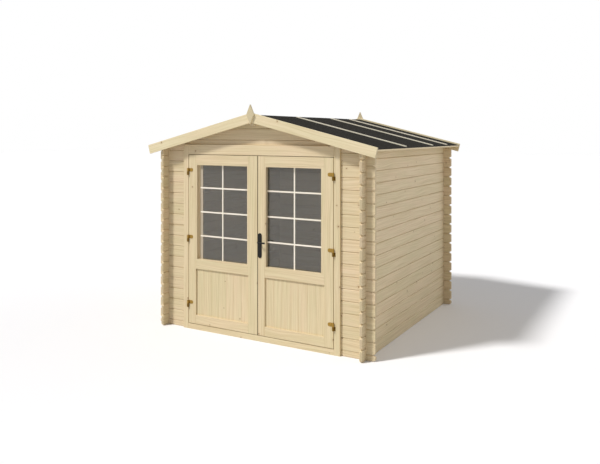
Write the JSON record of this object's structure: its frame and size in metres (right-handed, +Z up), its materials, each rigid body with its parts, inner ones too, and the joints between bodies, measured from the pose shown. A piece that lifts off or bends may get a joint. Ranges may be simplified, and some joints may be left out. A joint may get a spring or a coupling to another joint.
{
  "type": "garden shed",
  "caption": "Gabled garden shed of interlocking planed logs with notched corners, a felted roof with battens and barge boards, and glazed double doors with a lever handle.",
  "frame": {"origin": "on the ground, at the middle of the walls and of the roof's plan", "axes": "+X to the right when facing the doors, across the gable; +Y from the doors to the back; +Z up"},
  "size_m": [2.678, 2.596, 2.3439],
  "materials": {
    "wall_logs": "planed bare spruce",
    "door_timber": "planed bare spruce",
    "roof_timber": "planed bare spruce",
    "floor_timber": "planed bare spruce",
    "roof_felt": "bitumen felt with fine mineral grit",
    "door_glass": "clear float",
    "hinge_brass": "yellow passivated",
    "handle_black": "satin black"
  },
  "bodies": {
    "shed": {"left_wall_even_logs": "wall_logs", "left_wall_odd_logs": "wall_logs", "right_wall_even_logs": "wall_logs", "right_wall_odd_logs": "wall_logs", "back_wall_even_logs": "wall_logs", "back_wall_odd_logs": "wall_logs", "front_wall_left_even_logs": "wall_logs", "front_wall_left_odd_logs": "wall_logs", "front_wall_right_even_logs": "wall_logs", "front_wall_right_odd_logs": "wall_logs", "front_gable_log_1": "wall_logs", "front_gable_log_2": "wall_logs", "front_gable_log_3": "wall_logs", "left_door_jamb": "door_timber", "right_door_jamb": "door_timber", "door_head": "door_timber", "door_sill": "door_timber", "ridge_purlin": "roof_timber", "left_roof_deck": "roof_timber", "right_roof_deck": "roof_timber", "left_barge_boards": "roof_timber", "right_barge_boards": "roof_timber", "finials": "roof_timber", "roof_battens": "roof_timber", "roof_felt": "roof_felt", "floor_joists": "floor_timber", "floor_boards": "floor_timber", "left_hinge_pins": "hinge_brass", "right_hinge_pins": "hinge_brass"},
    "left_door": {"left_door_stiles": "door_timber", "left_door_rails": "door_timber", "left_door_panel": "door_timber", "left_door_glass": "door_glass", "left_hinge_straps": "hinge_brass"},
    "right_door": {"right_door_stiles": "door_timber", "right_door_rails": "door_timber", "right_door_panel": "door_timber", "right_door_glass": "door_glass", "right_hinge_straps": "hinge_brass", "handle_plates": "handle_black"},
    "door_handle": {"door_lever": "handle_black"}
  },
  "joints": [
    {"name": "left_door_swing", "type": "hinge", "parent": "shed", "child": "left_door", "pos_m": [-0.85875, -1.1933, 0.95], "axis": [0, 0, -1], "range_deg": [0, 150]},
    {"name": "right_door_swing", "type": "hinge", "parent": "shed", "child": "right_door", "pos_m": [0.85875, -1.1933, 0.95], "axis": [0, 0, 1], "range_deg": [0, 150]},
    {"name": "handle_turn", "type": "hinge", "parent": "right_door", "child": "door_handle", "pos_m": [0.043, -1.183, 0.9865], "axis": [0, 1, 0], "range_deg": [0, 40], "stiffness_Nm_per_rad": 1.2, "springref_deg": -20.05}
  ]
}
